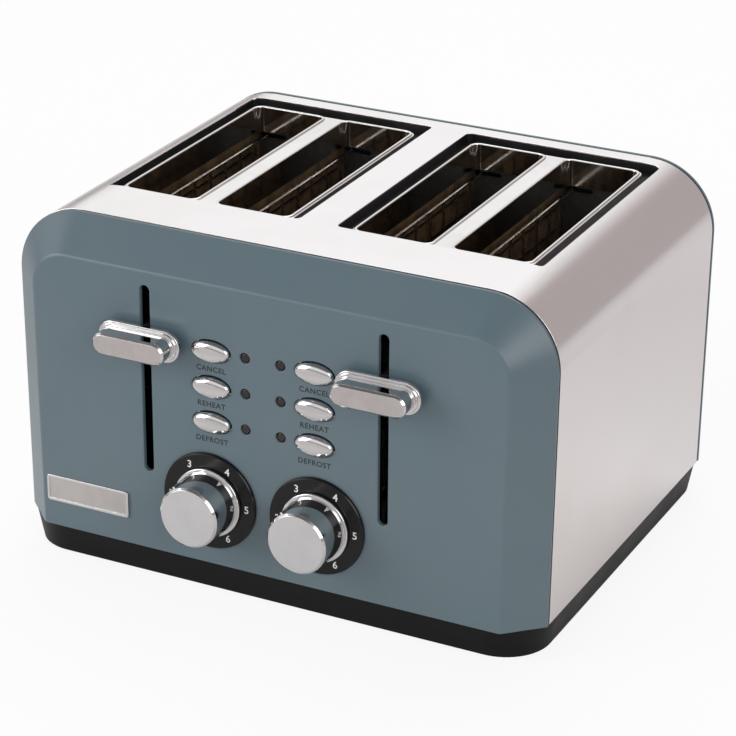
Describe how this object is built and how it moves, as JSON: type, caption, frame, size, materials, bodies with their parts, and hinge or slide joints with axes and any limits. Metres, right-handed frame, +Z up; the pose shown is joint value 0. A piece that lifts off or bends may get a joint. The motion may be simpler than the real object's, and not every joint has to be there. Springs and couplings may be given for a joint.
{
  "type": "toaster",
  "caption": "Wide countertop toaster with paired long bread slots in a steel wrap, bevelled end panels, side-by-side lift levers, push buttons, browning dials and rear crumb trays.",
  "frame": {"origin": "on the worktop, under the middle of the whole outline", "axes": "+Z up; the front with the levers and dials faces -Y; +X is to the right of someone facing the front"},
  "size_m": [0.3008, 0.2762, 0.1905],
  "materials": {
    "slate_paint": "satin",
    "polished_wrap": "polished stainless steel",
    "bright_frame": "polished",
    "bright_control": "polished, satin faces",
    "badge_metal": "satin",
    "black_moulding": "satin",
    "black_trough": "satin",
    "gloss_black": "gloss",
    "rubber": "matte",
    "zinc_screw": "zinc plated",
    "galvanised_sheet": "satin",
    "reflector_sheet": "bright",
    "mica": "matte mineral sheet",
    "resistance_ribbon": "oxidised",
    "bright_rod": "ground",
    "spring_steel": "oiled",
    "iron_core": "dark",
    "circuit_board": "gloss",
    "control_can": "satin",
    "switch_plastic": "satin",
    "lamp_red": "gloss",
    "rack_wire": "satin",
    "tray_sheet": "satin"
  },
  "bodies": {
    "housing": {"base_tray": "black_moulding", "rubber_feet": "rubber", "case_screws": "zinc_screw", "wrap_shell": "polished_wrap", "front_panel": "slate_paint", "rear_panel": "slate_paint", "panel_gaskets": "black_moulding", "recess_liner_left": "black_trough", "recess_liner_right": "black_trough", "slot_frame_left": "bright_frame", "slot_frame_right": "bright_frame", "front_bulkhead": "galvanised_sheet", "rear_bulkhead": "galvanised_sheet", "heat_reflectors": "reflector_sheet", "heater_cards_left": "mica", "heater_cards_right": "mica", "heater_ribbons_left": "resistance_ribbon", "heater_ribbons_right": "resistance_ribbon", "guide_rods": "bright_rod", "electromagnet_left": "iron_core", "electromagnet_right": "iron_core", "return_spring_left": "spring_steel", "return_spring_right": "spring_steel", "control_board_left": "circuit_board", "control_board_right": "circuit_board", "browning_control_left": "control_can", "browning_control_right": "control_can", "dial_plate_left": "gloss_black", "dial_plate_right": "gloss_black", "board_screws": "zinc_screw", "button_switches": "switch_plastic", "indicator_lamps": "lamp_red", "badge_plate": "badge_metal", "cord_gland": "black_moulding", "terminal_block": "switch_plastic"},
    "carriage_left": {"lever_knob_left": "bright_control", "carriage_left": "galvanised_sheet", "magnet_keeper_left": "iron_core", "bread_racks_left": "rack_wire"},
    "bread_guides_left_a": {"bread_guides_left_a": "rack_wire"},
    "bread_guides_left_b": {"bread_guides_left_b": "rack_wire"},
    "browning_knob_left": {"browning_knob_left": "bright_control"},
    "button_cancel_left": {"button_cancel_left": "bright_control"},
    "button_reheat_left": {"button_reheat_left": "bright_control"},
    "button_defrost_left": {"button_defrost_left": "bright_control"},
    "crumb_tray_left": {"crumb_tray_left": "tray_sheet", "tray_handle_left": "black_moulding"},
    "carriage_right": {"lever_knob_right": "bright_control", "carriage_right": "galvanised_sheet", "magnet_keeper_right": "iron_core", "bread_racks_right": "rack_wire"},
    "bread_guides_right_a": {"bread_guides_right_a": "rack_wire"},
    "bread_guides_right_b": {"bread_guides_right_b": "rack_wire"},
    "browning_knob_right": {"browning_knob_right": "bright_control"},
    "button_cancel_right": {"button_cancel_right": "bright_control"},
    "button_reheat_right": {"button_reheat_right": "bright_control"},
    "button_defrost_right": {"button_defrost_right": "bright_control"},
    "crumb_tray_right": {"crumb_tray_right": "tray_sheet", "tray_handle_right": "black_moulding"}
  },
  "joints": [
    {"name": "lever_left", "type": "slide", "parent": "housing", "child": "carriage_left", "axis": [0, 0, 1], "range_m": [-0.068, 0.02], "stiffness_N_per_m": 120, "springref_m": 0.0139, "deforming": ["return_spring_left"]},
    {"name": "guides_left_a", "type": "slide", "parent": "housing", "child": "bread_guides_left_a", "axis": [1, 0, 0], "range_m": [-0.0031, 0.0105]},
    {"name": "guides_left_b", "type": "slide", "parent": "housing", "child": "bread_guides_left_b", "axis": [-1, 0, 0], "range_m": [-0.0031, 0.0105]},
    {"name": "browning_left", "type": "hinge", "parent": "housing", "child": "browning_knob_left", "pos_m": [-0.0306, -0.1145, 0.05425], "axis": [0, 1, 0], "range_deg": [-120, 180]},
    {"name": "press_cancel_left", "type": "slide", "parent": "housing", "child": "button_cancel_left", "axis": [0, 1, 0], "range_m": [0, 0.0014], "stiffness_N_per_m": 300, "springref_m": -0.0005},
    {"name": "press_reheat_left", "type": "slide", "parent": "housing", "child": "button_reheat_left", "axis": [0, 1, 0], "range_m": [0, 0.0014], "stiffness_N_per_m": 300, "springref_m": -0.0005},
    {"name": "press_defrost_left", "type": "slide", "parent": "housing", "child": "button_defrost_left", "axis": [0, 1, 0], "range_m": [0, 0.0014], "stiffness_N_per_m": 300, "springref_m": -0.0005},
    {"name": "tray_left", "type": "slide", "parent": "housing", "child": "crumb_tray_left", "axis": [0, 1, 0], "range_m": [0, 0.18]},
    {"name": "lever_right", "type": "slide", "parent": "housing", "child": "carriage_right", "axis": [0, 0, 1], "range_m": [-0.068, 0.02], "stiffness_N_per_m": 120, "springref_m": 0.0139, "deforming": ["return_spring_right"]},
    {"name": "guides_right_a", "type": "slide", "parent": "housing", "child": "bread_guides_right_a", "axis": [1, 0, 0], "range_m": [-0.0031, 0.0105]},
    {"name": "guides_right_b", "type": "slide", "parent": "housing", "child": "bread_guides_right_b", "axis": [-1, 0, 0], "range_m": [-0.0031, 0.0105]},
    {"name": "browning_right", "type": "hinge", "parent": "housing", "child": "browning_knob_right", "pos_m": [0.0306, -0.1145, 0.05425], "axis": [0, 1, 0], "range_deg": [-120, 180]},
    {"name": "press_cancel_right", "type": "slide", "parent": "housing", "child": "button_cancel_right", "axis": [0, 1, 0], "range_m": [0, 0.0014], "stiffness_N_per_m": 300, "springref_m": -0.0005},
    {"name": "press_reheat_right", "type": "slide", "parent": "housing", "child": "button_reheat_right", "axis": [0, 1, 0], "range_m": [0, 0.0014], "stiffness_N_per_m": 300, "springref_m": -0.0005},
    {"name": "press_defrost_right", "type": "slide", "parent": "housing", "child": "button_defrost_right", "axis": [0, 1, 0], "range_m": [0, 0.0014], "stiffness_N_per_m": 300, "springref_m": -0.0005},
    {"name": "tray_right", "type": "slide", "parent": "housing", "child": "crumb_tray_right", "axis": [0, 1, 0], "range_m": [0, 0.18]}
  ],
  "couplings": [
    {"joint": "guides_left_a", "follows": "lever_left", "ratio": -0.1544},
    {"joint": "guides_left_b", "follows": "lever_left", "ratio": -0.1544},
    {"joint": "guides_right_a", "follows": "lever_right", "ratio": -0.1544},
    {"joint": "guides_right_b", "follows": "lever_right", "ratio": -0.1544}
  ]
}
